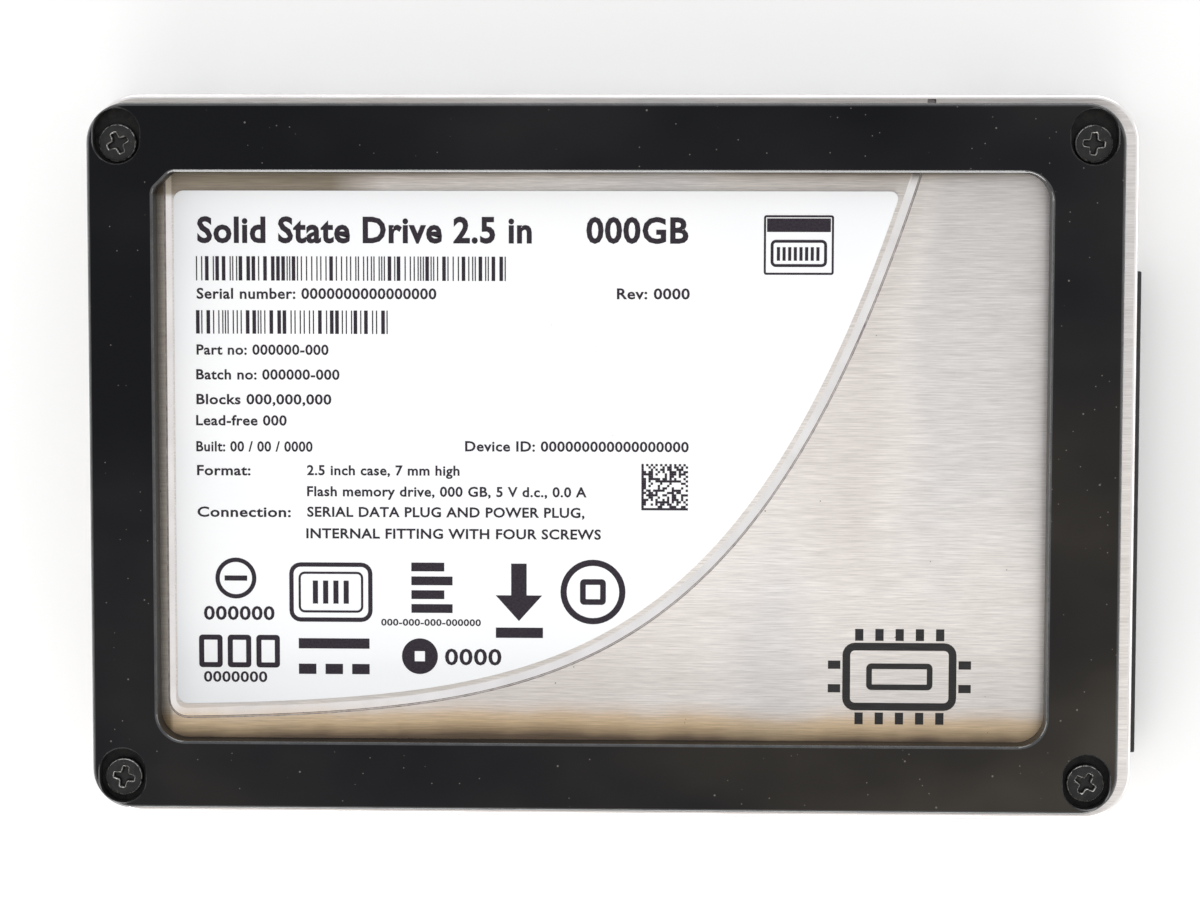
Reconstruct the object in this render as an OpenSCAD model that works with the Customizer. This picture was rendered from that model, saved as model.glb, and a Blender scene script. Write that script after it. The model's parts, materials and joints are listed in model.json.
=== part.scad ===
// 2.5-inch solid state drive: a 7 mm two-piece metal case with a 2.5 mm spacer frame on top.
// The origin is the centre of the four bottom screw holes, on the bottom face.
// +X points to the connector end, +Y to the signal side of the plug, +Z to the label side.

/* [Case] */
// Length of the metal case along X
case_l = 100.45; // [100:0.05:100.45]
// Width of the metal case along Y
case_w = 69.85; // [69.6:0.05:70.1]
// Height of the metal case without the spacer
case_h = 7; // [6.9:0.1:7.2]
// Corner radius of the case in plan
case_r = 4.6; // [4:0.1:5.5]
// Thickness of the tray's side walls
wall = 1.5; // [1.3:0.1:1.6]
// Thickness of the tray's floor
floor_t = 0.9; // [0.7:0.1:1]
// Thickness of the cover plate
cover_t = 0.9; // [0.8:0.1:1]
// Depth of the sunken panel that holds the label
panel_depth = 0.3; // [0.2:0.05:0.4]

/* [Spacer] */
// Height of the spacer frame above the case
spacer_h = 2.5; // [2.4:0.1:2.6]
// Metal left showing in front of the spacer, at the connector end
spacer_front_gap = 1.58; // [1.4:0.02:1.8]
// Metal left showing on each long side of the spacer
spacer_side_gap = 0.92; // [0.8:0.02:1.1]
// Width of the spacer's long bars
bar_w = 6.55; // [6.3:0.05:6.6]
// Width of the spacer's bar at the back end
back_bar_w = 6.3; // [6.1:0.05:6.5]
// Width of the spacer's bar at the connector end
front_bar_w = 6.9; // [6.6:0.05:7.1]
// Corner radius of the spacer in plan
spacer_r = 3.8; // [3.4:0.1:4.2]
// Corner radius of the spacer's window
window_r = 2.7; // [2:0.1:3]
// Depth of the counterbores over the corner screws
counterbore_depth = 1.6; // [1.4:0.1:1.7]

/* [Mounting] */
// Distance from the connector end to the first screw holes
hole_from_front = 14; // [13.9:0.05:14.1]
// Hole spacing along the case
hole_pitch_x = 76.6; // [76.5:0.05:76.7]
// Spacing of the bottom holes across the case
hole_pitch_y = 61.72; // [61.5:0.02:61.9]
// Height of the side holes above the bottom face
side_hole_z = 3; // [2.9:0.05:3.1]
// Radius of the M3 holes
mount_hole_r = 1.25; // [1.2:0.01:1.3]
// Depth of the bottom holes
bottom_hole_depth = 3; // [2.5:0.1:3.2]
// Depth of the side holes
side_hole_depth = 2.6; // [2.4:0.1:2.6]

/* [Corner screws] */
// Distance from the back end of the case to the back screws
screw_from_back = 2.87; // [2.7:0.01:3]
// Distance from the connector end of the case to the front screws
screw_from_front = 4.57; // [4.4:0.01:4.8]
// Distance of the screws from the centre line, on the signal side
screw_y_plus = 30.2; // [30:0.1:30.6]
// Distance of the screws from the centre line, on the power side
screw_y_minus = 31.1; // [30.7:0.1:31.3]
// Radius of the screw heads
head_r = 1.83; // [1.7:0.01:1.9]
// Height of the screw heads
head_h = 0.8; // [0.6:0.1:0.9]
// Radius of the thread
thread_r = 1; // [0.9:0.05:1]

/* [Plug] */
// Offset of the plug's centre line from the case's centre line
plug_y = -4.8; // [-4.9:0.05:-4.7]
// Contact pitch
contact_pitch = 1.27; // [1.26:0.01:1.27]
// Contact width
contact_w = 0.84; // [0.7:0.02:0.9]
// How far the plug stands out past the case
plug_proud = 0.48; // [0.3:0.02:0.6]

/* [Board] */
// Thickness of the circuit board
board_t = 1; // [0.8:0.1:1]
// Height of the board's underside above the bottom face
board_z = 2.2; // [2.2:0.05:2.3]
// Side of a flash memory package along X
flash_l = 14; // [13:0.5:14]
// Side of a flash memory package along Y
flash_w = 18; // [16:0.5:18]

/* [Hidden] */
$fn = 64;
eps = 0.05;

// Case outline along X
front_x = hole_pitch_x / 2 + hole_from_front;
back_x = front_x - case_l;
mid_x = (front_x + back_x) / 2;
tray_h = case_h - cover_t;

// Spacer outline and window
spacer_top = case_h + spacer_h;
spacer_l = case_l - spacer_front_gap;
spacer_w = case_w - 2 * spacer_side_gap;
spacer_x = back_x + spacer_l / 2;
window_l = spacer_l - back_bar_w - front_bar_w;
window_w = spacer_w - 2 * bar_w;
window_x = back_x + back_bar_w + window_l / 2;
window_key = 1.4;
counterbore_y = 30.85;
counterbore_r = 2.25;
counterbore_stretch = 0.8;

// Corner screws, posts and their holes
screw_x = [back_x + screw_from_back, front_x - screw_from_front];
screw_y = [-screw_y_minus, screw_y_plus];
screw_len = 5.2;
post_r = 2.9;
tapped_gap = 0.03;
clearance_r = thread_r + 0.15;
head_seat_z = spacer_top - counterbore_depth;

// Sunken panel: its curved edge is y = floor + rise * ((x - start) / run) ^ power.
// The slope down to its floor is one upright step here, half way along it.
panel_left = back_x + 7;
panel_slope_w = 0.8;
panel_top = 29.5;
panel_floor = -25.77;
panel_rise = 54.6;
panel_start = -118.45;
panel_run = 150.6;
panel_power = 8.9;
panel_steps = 48;
label_margin = 1.42;
label_left = -40.3;
label_top = 25.7;
label_t = 0.1;

// Small slot in the cover, just outside the spacer's long side
slot_x = 32.5;
slot_l = 0.83;
slot_w = 0.9;
slot_from_edge = 0.45;
slot_depth = 0.5;

// Platform inside the cover, over the chips
platform_t = 1.2;
platform_from = -43;
platform_to = 38.5;
platform_w = 39;

// Bosses round the mounting holes
boss_l = 6.6;
boss_w = 6.3;
boss_h = 5.1;

// Board outline, posts and screws
board_top = board_z + board_t;
board_back = back_x + wall + 0.65;
board_front = 45.2;
board_half_w = 26.8;
wing_half_l = 34;
wing_half_w = 32.9;
board_post_x = 30;
board_post_y = 29.6;
board_post_r = 2.2;
board_screw_r = 0.8;
board_hole_r = 1.15;
board_screw_bottom = 0.6;

// Plug, from its back wall to its front edge
plug_front = front_x + plug_proud;
plug_back = 45.4;
plug_wall = 1.8;
shroud_back_y = -28.5;
shroud_w = 46.6;
shroud_t = 0.45;
shroud_bottom = floor_t + 0.05;
shroud_top = tray_h - 0.05;
tongue_z = 3.5;
tongue_t = 1.23;
tongue_tip = front_x + 0.3;
signal_w = 10.41;
key_gap = 2.41;
power_w = 20.57;
leg_w = 1.05;
leg_h = 1.18;
leg_margin = 1.97;
guide_span = 42.73;
guide_t = 2;
guide_z = 2.1;
guide_h = 3.2;
signal_y0 = plug_y + (signal_w + key_gap + power_w) / 2 - signal_w;
power_y1 = signal_y0 - key_gap;
contact_t = 0.18;
contact_proud = 0.06;
contact_tip = tongue_tip - 0.4;

// Chips and the small parts, as [x, y] centres on the board
flash_x = [-37, -21.5, -6, 9.5];
flash_y = 10.5;
flash_h = 1.2;
flash_low_h = 1;
controller_at = [29, -7];
controller_side = 17;
cache_at = [29, 10.5];
cache_l = 9;
cache_w = 13;
pad_top = tray_h - platform_t;
pad_inset = 1;
bulk_from = [-25, 25.5];
bulk_step = 8.8;
bulk_count = 6;
inductor_at = [[14, -25.5], [19, -25.5], [24, -25.5]];
regulator_at = [[-8, -25.5], [0, -25.5], [7.5, -25.5]];
// Rows of small parts: first centre, step, how many, and turned by 90 degrees or not
capacitor_rows = [
    [[-42, 21.3], [4.4, 0], 14, false],
    [[-42, -21.3], [4.4, 0], 14, false],
    [[18.5, -14], [0, 3.2], 10, true],
    [[39.6, -13], [0, 2.6], 5, true]
];
resistor_rows = [
    [[21, -18.2], [2.2, 0], 8, false],
    [[21, 19.4], [2.2, 0], 8, false],
    [[42.6, -6], [0, 2], 9, true],
    [[-30, -24.6], [2.2, 0], 7, false]
];

function panel_y(x) = panel_floor + panel_rise * pow((x - panel_start) / panel_run, panel_power);
function panel_x(y) = panel_start + panel_run * pow((y - panel_floor) / panel_rise, 1 / panel_power);
function panel_slope(x) = panel_power * (panel_y(x) - panel_floor) / (x - panel_start);
// A point of the curved edge, moved inwards by a margin
function panel_point(x, margin) =
    let (s = panel_slope(x), n = sqrt(1 + s * s))
    [x - margin * s / n, panel_y(x) + margin / n];

// A rectangle with round corners, centred on the origin
module rounded_outline(l, w, r) {
    square([l - 2 * r, w], center = true);
    square([l, w - 2 * r], center = true);
    for (sx = [-1, 1], sy = [-1, 1])
        translate([sx * (l / 2 - r), sy * (w / 2 - r)])
            circle(r);
}

module rounded_plate(l, w, h, r) {
    linear_extrude(h)
        rounded_outline(l, w, r);
}

// A box given by its centre in plan, its foot and its size
module block(at, foot, size) {
    translate([at[0] - size[0] / 2, at[1] - size[1] / 2, foot])
        cube(size);
}

module at_corner_screws() {
    for (x = screw_x, y = screw_y)
        translate([x, y, 0])
            children();
}

module at_mount_bosses() {
    for (sx = [-1, 1], sy = [-1, 1])
        translate([sx * hole_pitch_x / 2, 0, 0])
            mirror([0, sy < 0 ? 1 : 0, 0])
                children();
}

module at_board_posts() {
    for (sx = [-1, 1], sy = [-1, 1])
        translate([sx * board_post_x, sy * board_post_y, 0])
            children();
}

// The curved panel outline, set inwards by a margin
module panel_outline(left, top, margin) {
    x_end = panel_x(panel_top) + 2;
    intersection() {
        polygon(concat(
            [[left - 5, panel_top + 5]],
            [[left - 5, panel_floor + margin]],
            [for (i = [0 : panel_steps]) panel_point(left + (x_end - left) * i / panel_steps, margin)],
            [[x_end, panel_top + 5]]
        ));
        translate([left, panel_floor - 5])
            square([case_l, top - panel_floor + 5]);
    }
}

// Cross recess of a screw, cut downwards from z = 0
module cross_recess(reach, slot, depth) {
    for (a = [0, 90])
        rotate([0, 0, a])
            translate([-reach, -slot / 2, -depth])
                cube([2 * reach, slot, depth + eps]);
    translate([0, 0, -depth])
        cylinder(r1 = slot * 0.5, r2 = slot * 1.1, h = depth + eps);
}

module screw(head_radius, head_height, radius, length, recess) {
    difference() {
        union() {
            cylinder(r = head_radius, h = head_height);
            translate([0, 0, -length])
                cylinder(r = radius, h = length + eps);
        }
        translate([0, 0, head_height])
            cross_recess(recess, recess * 0.5, head_height * 0.6);
    }
}

module base_tray() {
    color("silver")
    difference() {
        union() {
            difference() {
                translate([mid_x, 0, 0])
                    rounded_plate(case_l, case_w, tray_h, case_r);
                translate([mid_x, 0, floor_t])
                    rounded_plate(case_l - 2 * wall, case_w - 2 * wall, tray_h, case_r - wall);
            }
            intersection() {
                translate([mid_x, 0, 0])
                    rounded_plate(case_l, case_w, tray_h, case_r);
                at_corner_screws()
                    cylinder(r = post_r, h = tray_h);
            }
            at_mount_bosses()
                block([0, case_w / 2 - boss_w / 2 - eps], 0, [boss_l, boss_w, boss_h]);
            at_board_posts()
                cylinder(r = board_post_r, h = board_z);
        }
        at_corner_screws()
            translate([0, 0, head_seat_z - screw_len - 0.4])
                cylinder(r = thread_r + tapped_gap, h = case_h);
        at_board_posts()
            translate([0, 0, board_screw_bottom - 0.1])
                cylinder(r = board_screw_r + tapped_gap, h = case_h);
        at_mount_bosses() {
            translate([0, hole_pitch_y / 2, -eps])
                cylinder(r = mount_hole_r, h = bottom_hole_depth + eps);
            translate([0, case_w / 2 + eps, side_hole_z])
                rotate([90, 0, 0])
                    cylinder(r = mount_hole_r, h = side_hole_depth + eps);
        }
        translate([plug_back, shroud_back_y - 0.1, floor_t])
            cube([case_l, shroud_w + 0.2, case_h]);
    }
}

module top_cover() {
    lip_gap = 0.15;
    lip_w = 1;
    lip_h = 0.8;
    color("gainsboro")
    difference() {
        union() {
            translate([mid_x, 0, tray_h])
                rounded_plate(case_l, case_w, cover_t, case_r);
            difference() {
                translate([mid_x, 0, tray_h - lip_h])
                    rounded_plate(case_l - 2 * (wall + lip_gap), case_w - 2 * (wall + lip_gap),
                        lip_h + eps, case_r - wall - lip_gap);
                translate([mid_x, 0, tray_h - lip_h - eps])
                    rounded_plate(case_l - 2 * (wall + lip_gap + lip_w),
                        case_w - 2 * (wall + lip_gap + lip_w), case_h, case_r - wall - lip_gap - lip_w);
                at_corner_screws()
                    translate([0, 0, tray_h - lip_h - eps])
                        cylinder(r = post_r + lip_gap, h = lip_h + eps);
                translate([plug_back, shroud_back_y - 0.3, tray_h - lip_h - eps])
                    cube([case_l, shroud_w + 0.6, lip_h + eps]);
            }
            translate([platform_from, -platform_w / 2, tray_h - platform_t])
                cube([platform_to - platform_from, platform_w, platform_t + eps]);
        }
        at_corner_screws()
            cylinder(r = clearance_r, h = 2 * case_h);
        translate([0, 0, case_h - panel_depth])
            linear_extrude(1)
                panel_outline(panel_left + panel_slope_w / 2, panel_top, panel_slope_w / 2);
        block([slot_x, case_w / 2 - slot_from_edge - slot_w / 2], case_h - slot_depth,
            [slot_l, slot_w, slot_depth + 1]);
    }
}

module spacer_frame() {
    color("black")
    difference() {
        translate([spacer_x, 0, case_h])
            rounded_plate(spacer_l, spacer_w, spacer_h, spacer_r);
        difference() {
            translate([window_x, 0, case_h - eps])
                rounded_plate(window_l, window_w, spacer_h + 1, window_r);
            // The window's corner over the label's top left is cut across, not round
            translate([window_x - window_l / 2, window_w / 2, case_h - 1])
                rotate([0, 0, 45])
                    cube([window_key * sqrt(2) * 1.2, window_key * sqrt(2) * 1.2, 3 * spacer_h],
                        center = true);
        }
        at_corner_screws()
            translate([0, 0, case_h - eps])
                cylinder(r = clearance_r + 0.2, h = spacer_h);
        for (x = screw_x, side = [-1, 1], shift = [-1, 1])
            translate([x, side * counterbore_y + shift * counterbore_stretch / 2, head_seat_z])
                cylinder(r = counterbore_r, h = spacer_h);
        for (x = screw_x, side = [-1, 1])
            block([x, side * counterbore_y], head_seat_z,
                [2 * counterbore_r, counterbore_stretch, spacer_h]);
    }
}

module corner_screws() {
    turn = [[-11, 25], [59, -4]];
    color("dimgray")
    for (i = [0, 1], j = [0, 1])
        translate([screw_x[i], screw_y[j], head_seat_z])
            rotate([0, 0, turn[i][j]])
                screw(head_r, head_h, thread_r, screw_len, 1);
}

module product_label() {
    color("white")
    translate([0, 0, case_h - panel_depth])
        linear_extrude(label_t)
            panel_outline(label_left, label_top, label_margin);
}

module circuit_board() {
    color("darkgreen")
    difference() {
        union() {
            translate([board_back, -board_half_w, board_z])
                cube([board_front - board_back, 2 * board_half_w, board_t]);
            translate([-wing_half_l, -wing_half_w, board_z])
                cube([2 * wing_half_l, 2 * wing_half_w, board_t]);
        }
        at_board_posts()
            cylinder(r = board_hole_r, h = case_h);
    }
}

module board_screws() {
    color("lightgray")
    at_board_posts()
        translate([0, 0, board_top])
            screw(1.6, 0.7, board_screw_r, board_top - board_screw_bottom, 0.8);
}

// One stamped contact: blade under the tongue, step down, and tail on the board
module contact(y) {
    low = tongue_z - contact_proud;
    tail_z = board_top;
    translate([0, y + contact_w / 2, 0])
        rotate([90, 0, 0])
            linear_extrude(contact_w)
                polygon([
                    [plug_back - 2, tail_z], [plug_back - 0.6, tail_z],
                    [plug_back - 0.2, low], [contact_tip, low],
                    [contact_tip, low + contact_t], [plug_back - 0.3, low + contact_t],
                    [plug_back - 0.7, tail_z + contact_t], [plug_back - 2, tail_z + contact_t]
                ]);
}

module signal_contact_row() {
    for (i = [0 : 6])
        contact(signal_y0 + leg_margin + i * contact_pitch);
}

module power_contact_row() {
    for (i = [0 : 14])
        contact(power_y1 - leg_margin - i * contact_pitch);
}

module sata_housing() {
    tongue_l = tongue_tip - plug_back;
    inner_h = shroud_top - shroud_bottom;
    color([0.12, 0.12, 0.13])
    difference() {
        union() {
            // Shroud: a thin rectangular sleeve with a back wall
            difference() {
                translate([plug_back, shroud_back_y, shroud_bottom])
                    cube([plug_front - plug_back, shroud_w, inner_h]);
                translate([plug_back + plug_wall, shroud_back_y + shroud_t, shroud_bottom + shroud_t])
                    cube([case_l, shroud_w - 2 * shroud_t, inner_h - 2 * shroud_t]);
            }
            // Signal and power tongues with the key legs beside the gap
            translate([plug_back, signal_y0, tongue_z])
                cube([tongue_l, signal_w, tongue_t]);
            translate([plug_back, power_y1 - power_w, tongue_z])
                cube([tongue_l, power_w, tongue_t]);
            translate([plug_back, signal_y0, tongue_z - leg_h])
                cube([tongue_l, leg_w, leg_h + eps]);
            translate([plug_back, power_y1 - leg_w, tongue_z - leg_h])
                cube([tongue_l, leg_w, leg_h + eps]);
            // Guide arms at both ends
            for (y = [plug_y - guide_span / 2, plug_y + guide_span / 2 - guide_t])
                translate([plug_back, y, guide_z])
                    cube([tongue_l - 0.3, guide_t, guide_h]);
        }
        signal_contact_row();
        power_contact_row();
    }
}

module sata_signal_contacts() {
    color("gold")
        signal_contact_row();
}

module sata_power_contacts() {
    color("gold")
        power_contact_row();
}

module connector_hold_downs() {
    color("lightgray")
    for (y = [plug_y - guide_span / 2 - 0.2, plug_y + guide_span / 2 - 1.8])
        translate([plug_back - 2.4, y, board_top])
            difference() {
                cube([2.4, 2, 0.9]);
                translate([-eps, -eps, 0.3])
                    cube([1.4, 2.1, 1]);
            }
}

// A ball-grid package: thin laminate under a moulded body
module chip(at, foot, size) {
    rim = 0.3;
    lower = size[2] * 0.25;
    block(at, foot, [size[0], size[1], lower]);
    block(at, foot + lower, [size[0] - rim, size[1] - rim, size[2] - lower]);
}

module controller_chip() {
    color([0.16, 0.16, 0.17])
        chip(controller_at, board_top, [controller_side, controller_side, flash_h]);
}

module cache_memory_chip() {
    color([0.14, 0.14, 0.15])
        chip(cache_at, board_top, [cache_l, cache_w, flash_h]);
}

module flash_chips_upper() {
    color([0.13, 0.13, 0.14])
    for (x = flash_x, s = [-1, 1])
        chip([x, s * flash_y], board_top, [flash_l, flash_w, flash_h]);
}

module flash_chips_lower() {
    color([0.13, 0.13, 0.14])
    for (x = flash_x, s = [-1, 1])
        translate([0, 0, 2 * board_z])
            mirror([0, 0, 1])
                chip([x, s * flash_y], board_z, [flash_l, flash_w, flash_low_h]);
}

module controller_thermal_pad() {
    side = controller_side - 2 * pad_inset;
    foot = board_top + flash_h;
    color("lightsteelblue")
        block(controller_at, foot, [side, side, pad_top - foot]);
}

// Two strips, one over each row of flash packages
module flash_pad_strips(foot, thickness) {
    from = flash_x[0] - flash_l / 2 + pad_inset;
    to = flash_x[3] + flash_l / 2 - pad_inset;
    for (s = [-1, 1])
        block([(from + to) / 2, s * flash_y], foot, [to - from, flash_w - 2 * pad_inset, thickness]);
}

module flash_pads_upper() {
    foot = board_top + flash_h;
    color("lightsteelblue")
        flash_pad_strips(foot, pad_top - foot);
}

module flash_pads_lower() {
    color("lightsteelblue")
        flash_pad_strips(floor_t, board_z - flash_low_h - floor_t);
}

module bulk_capacitors() {
    color("goldenrod")
    for (i = [0 : bulk_count - 1])
        block([bulk_from[0] + i * bulk_step, bulk_from[1]], board_top, [7.3, 4.3, 1.9]);
}

// Rows of small two-ended parts
module part_rows(rows, size) {
    for (row = rows, i = [0 : row[2] - 1])
        block(row[0] + i * row[1], board_top, row[3] ? [size[1], size[0], size[2]] : size);
}

module ceramic_capacitors() {
    color("tan")
        part_rows(capacitor_rows, [1.6, 0.8, 0.8]);
}

module resistors() {
    color("darkslategray")
        part_rows(resistor_rows, [1, 0.5, 0.35]);
}

module power_inductors() {
    color("gray")
    for (at = inductor_at) {
        block(at, board_top, [4, 4, 0.3]);
        translate([at[0], at[1], board_top + 0.3])
            cylinder(r = 1.8, h = 1.3);
    }
}

module voltage_regulators() {
    color([0.15, 0.15, 0.16])
    for (at = regulator_at)
        block(at, board_top, [5, 5, 0.9]);
}

module crystal_oscillator() {
    color("silver")
    translate([41.6, -12.5, board_top])
        rounded_plate(2.5, 3.2, 0.8, 0.4);
}

module input_fuse() {
    color("whitesmoke")
        block([42.2, -22], board_top, [1.6, 3.2, 0.8]);
}

module surge_diode() {
    color([0.15, 0.15, 0.16])
        block([41.8, -17.6], board_top, [2.6, 4, 1.1]);
}

base_tray();
top_cover();
spacer_frame();
corner_screws();
product_label();
circuit_board();
board_screws();
sata_housing();
sata_signal_contacts();
sata_power_contacts();
connector_hold_downs();
controller_chip();
cache_memory_chip();
flash_chips_upper();
flash_chips_lower();
controller_thermal_pad();
flash_pads_upper();
flash_pads_lower();
bulk_capacitors();
ceramic_capacitors();
resistors();
power_inductors();
voltage_regulators();
crystal_oscillator();
input_fuse();
surge_diode();
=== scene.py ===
"""The looks of a 2.5-inch solid state drive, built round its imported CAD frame.

Shells, screws, label and print are made here in millimetres and turned into metres
when they are finished. Places come from the CAD nodes' boxes.
"""
import json
import math
import random

import bmesh
import bpy
from mathutils import Matrix, Vector

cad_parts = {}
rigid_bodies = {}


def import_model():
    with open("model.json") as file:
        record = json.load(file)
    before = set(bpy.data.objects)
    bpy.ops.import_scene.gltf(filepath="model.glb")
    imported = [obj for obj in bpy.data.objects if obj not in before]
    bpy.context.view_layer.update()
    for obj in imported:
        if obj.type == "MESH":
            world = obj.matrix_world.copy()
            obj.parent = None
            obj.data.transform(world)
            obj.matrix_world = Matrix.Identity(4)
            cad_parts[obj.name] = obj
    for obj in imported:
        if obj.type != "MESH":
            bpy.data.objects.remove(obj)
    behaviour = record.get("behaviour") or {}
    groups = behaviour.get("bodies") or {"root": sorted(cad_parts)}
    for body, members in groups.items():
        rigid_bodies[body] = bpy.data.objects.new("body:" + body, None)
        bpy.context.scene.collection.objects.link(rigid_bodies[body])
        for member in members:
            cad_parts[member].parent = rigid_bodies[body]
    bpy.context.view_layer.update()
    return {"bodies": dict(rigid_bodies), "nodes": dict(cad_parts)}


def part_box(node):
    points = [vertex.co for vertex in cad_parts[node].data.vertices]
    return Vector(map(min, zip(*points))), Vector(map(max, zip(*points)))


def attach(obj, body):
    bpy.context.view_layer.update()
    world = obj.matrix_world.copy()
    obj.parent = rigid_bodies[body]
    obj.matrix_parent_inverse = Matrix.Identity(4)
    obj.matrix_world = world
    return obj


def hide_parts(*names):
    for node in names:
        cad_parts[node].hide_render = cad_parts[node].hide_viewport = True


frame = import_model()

MM = 0.001
BODY = next(iter(frame["bodies"]))
SHARP_ANGLE = math.radians(32)
FLAT_ANGLE = math.radians(0.2)
HUGE = 200
SAME_POINT = 1e-5


def node_box(name):
    """Lowest and highest corner of a CAD node, in millimetres."""
    low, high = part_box(name)
    return low / MM, high / MM


# ---- sizes, in millimetres

CASE_LOW, CASE_HIGH = node_box("base_tray")
COVER_LOW, COVER_HIGH = node_box("top_cover")
SPACER_LOW, SPACER_HIGH = node_box("spacer_frame")
SCREW_LOW, SCREW_HIGH = node_box("corner_screws")
LABEL_LOW, LABEL_HIGH = node_box("product_label")
PLUG_LOW, PLUG_HIGH = node_box("sata_housing")

CASE_X = (CASE_LOW.x + CASE_HIGH.x) / 2
CASE_L = CASE_HIGH.x - CASE_LOW.x
CASE_W = CASE_HIGH.y - CASE_LOW.y
CASE_R = 4.6
SEAM_Z = CASE_HIGH.z
COVER_TOP = COVER_HIGH.z
WALL = 1.5
FLOOR_T = 0.9
SEAM_ROUND = 0.12
FOOT_ROUND = 0.55
RIM_ROUND = 0.4

SPACER_X = (SPACER_LOW.x + SPACER_HIGH.x) / 2
SPACER_L = SPACER_HIGH.x - SPACER_LOW.x
SPACER_W = SPACER_HIGH.y - SPACER_LOW.y
SPACER_R = 3.8
SPACER_TOP = SPACER_HIGH.z
SPACER_ROUND = 0.3
LONG_BAR = 6.55
BACK_BAR = 6.3
FRONT_BAR = 6.9
WINDOW_R = 2.7
WINDOW_BEVEL = 0.2
WINDOW_BEVEL_DROP = 0.16
WINDOW_KEY = 1.7
WINDOW_LEFT = SPACER_LOW.x + BACK_BAR
WINDOW_RIGHT = SPACER_HIGH.x - FRONT_BAR
WINDOW_HALF = SPACER_W / 2 - LONG_BAR

HEAD_R = 1.83
HEAD_H = 0.8
HEAD_ROUND = 0.22
THREAD_R = 1.0
THREAD_PITCH = 0.4
THREAD_DEPTH = 0.14
SCREW_X = (SCREW_LOW.x + HEAD_R, SCREW_HIGH.x - HEAD_R)
SCREW_Y = (SCREW_LOW.y + HEAD_R, SCREW_HIGH.y - HEAD_R)
HEAD_SEAT = SCREW_HIGH.z - HEAD_H
SCREW_SPOTS = [(x, y) for x in SCREW_X for y in SCREW_Y]
SCREW_TURNS = (-11, 25, 59, -4)
THREAD_START = 0.35
SCREW_TIP = 0.3
RECESS_REACH = 1.0
RECESS_HALF = 0.24
RECESS_DEPTH = 0.55
RECESS_FLARE = 1.35
# Reach and drop of the screws' worn faces, which are painted bright, partly as a highlight
RECESS_WEAR_HIGHLIGHT = 0.15
WEAR_HIGHLIGHT_DROP = 0.17
COUNTERBORE_Y = 30.85
COUNTERBORE_R = 2.25
COUNTERBORE_STRETCH = 0.8
POCKET_REACH = COUNTERBORE_R + COUNTERBORE_STRETCH / 2 + 0.05
CLEARANCE_R = 1.35
SCREW_GAP = 0.15

QUADRANTS = [(sx, sy) for sx in (-1, 1) for sy in (-1, 1)]
MOUNT_X = 38.3
MOUNT_Y = 30.86
MOUNT_R = 1.25
SIDE_HOLE_Z = 3.0
BOTTOM_HOLE_DEPTH = 3.0
SIDE_HOLE_DEPTH = 2.6
MOUTH_BEVEL = 0.25
HOLE_PITCH = 0.5
HOLE_THREAD = 0.16
BOSS = (6.6, 6.3, 5.1)
BOSS_IN_WALL = 0.8
BOARD_POST_X = 30.0
BOARD_POST_Y = 29.6
BOARD_POST_R = 2.2
BOARD_Z = 2.2
CORNER_POST_R = 2.9
TAP_GAP = 0.03
CASE_TAP_FOOT = 2.3
BOARD_TAP_R = 0.83
BOARD_TAP_FOOT = 0.5

PANEL_LEFT = CASE_LOW.x + 7.0
PANEL_TOP = 29.5
PANEL_FLOOR = -25.77
PANEL_RISE = 54.6
PANEL_START = -118.45
PANEL_RUN = 150.6
PANEL_END = PANEL_RUN + PANEL_START + 8
PANEL_CORNER = 1.9
PANEL_POWER = 8.9
PANEL_SLOPE = 0.95
PANEL_SLOPE_LEFT = 0.65
SLOPE_BLEND = 8.0
PANEL_DEPTH = COVER_TOP - LABEL_LOW.z
GROOVE_W = 0.11
GROOVE_DEPTH = 0.15
GROOVE_RISE = 0.1
LABEL_MARGIN = 1.42
LABEL_CORNER = 1.0
SLOT_AT = (32.5, CASE_HIGH.y - 0.9)
SLOT_SIZE = (0.83, 0.9, 0.5)
SLOT_CORNER = 0.15
PLATFORM = ((-43, -19.5, COVER_LOW.z), (38.5, 19.5, SEAM_Z + 0.3))
PLUG_BACK = 45.4
PLUG_SIDES = (-28.6, 18.2)

INK_SINK = 0.004
INK_PROUD = 0.012
# A capital's share of the font's size, the space between letters and the narrowest bar
CAP_SHARE = 0.729
LETTER_SPACE = 1.06
BAR_NARROW = 0.125
BAR_SHARE = 0.92
CELL_SHARE = 0.97


# ---- outlines

def rounded_rectangle(centre, length, width, radius, steps=12):
    """outline(inset) of a rectangle with round corners, anticlockwise."""
    def outline(inset=0.0):
        r = max(radius - inset, 0.01)
        reach_x = length / 2 - inset - r
        reach_y = width / 2 - inset - r
        points = []
        for quarter, (sx, sy) in enumerate(((1, 1), (-1, 1), (-1, -1), (1, -1))):
            for step in range(steps + 1):
                angle = (quarter + step / steps) * math.pi / 2
                points.append((centre[0] + sx * reach_x + r * math.cos(angle),
                               centre[1] + sy * reach_y + r * math.sin(angle)))
        return [p for number, p in enumerate(points) if math.dist(p, points[number - 1]) > SAME_POINT]
    return outline


def case_plan(inset):
    """The case's outline, moved in all round."""
    return rounded_rectangle((CASE_X, 0), CASE_L - 2 * inset, CASE_W - 2 * inset, CASE_R - inset)


def circle(centre, radius, steps=48):
    """outline(inset) of a circle."""
    def outline(inset=0.0):
        turns = [2 * math.pi * step / steps for step in range(steps)]
        r = radius - inset
        return [(centre[0] + r * math.cos(a), centre[1] + r * math.sin(a)) for a in turns]
    return outline


def polygon(points):
    """outline(inset) of any anticlockwise polygon, each corner moved along its own bisector."""
    def outline(inset=0.0):
        moved = []
        for number, point in enumerate(points):
            here = Vector(point)
            before = here - Vector(points[number - 1])
            after = Vector(points[(number + 1) % len(points)]) - here
            first = Vector((-before.y, before.x)).normalized()
            second = Vector((-after.y, after.x)).normalized()
            middle = (first + second).normalized()
            moved.append(tuple(here + middle * inset / max(middle.dot(first), 0.3)))
        return moved
    return outline


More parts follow.
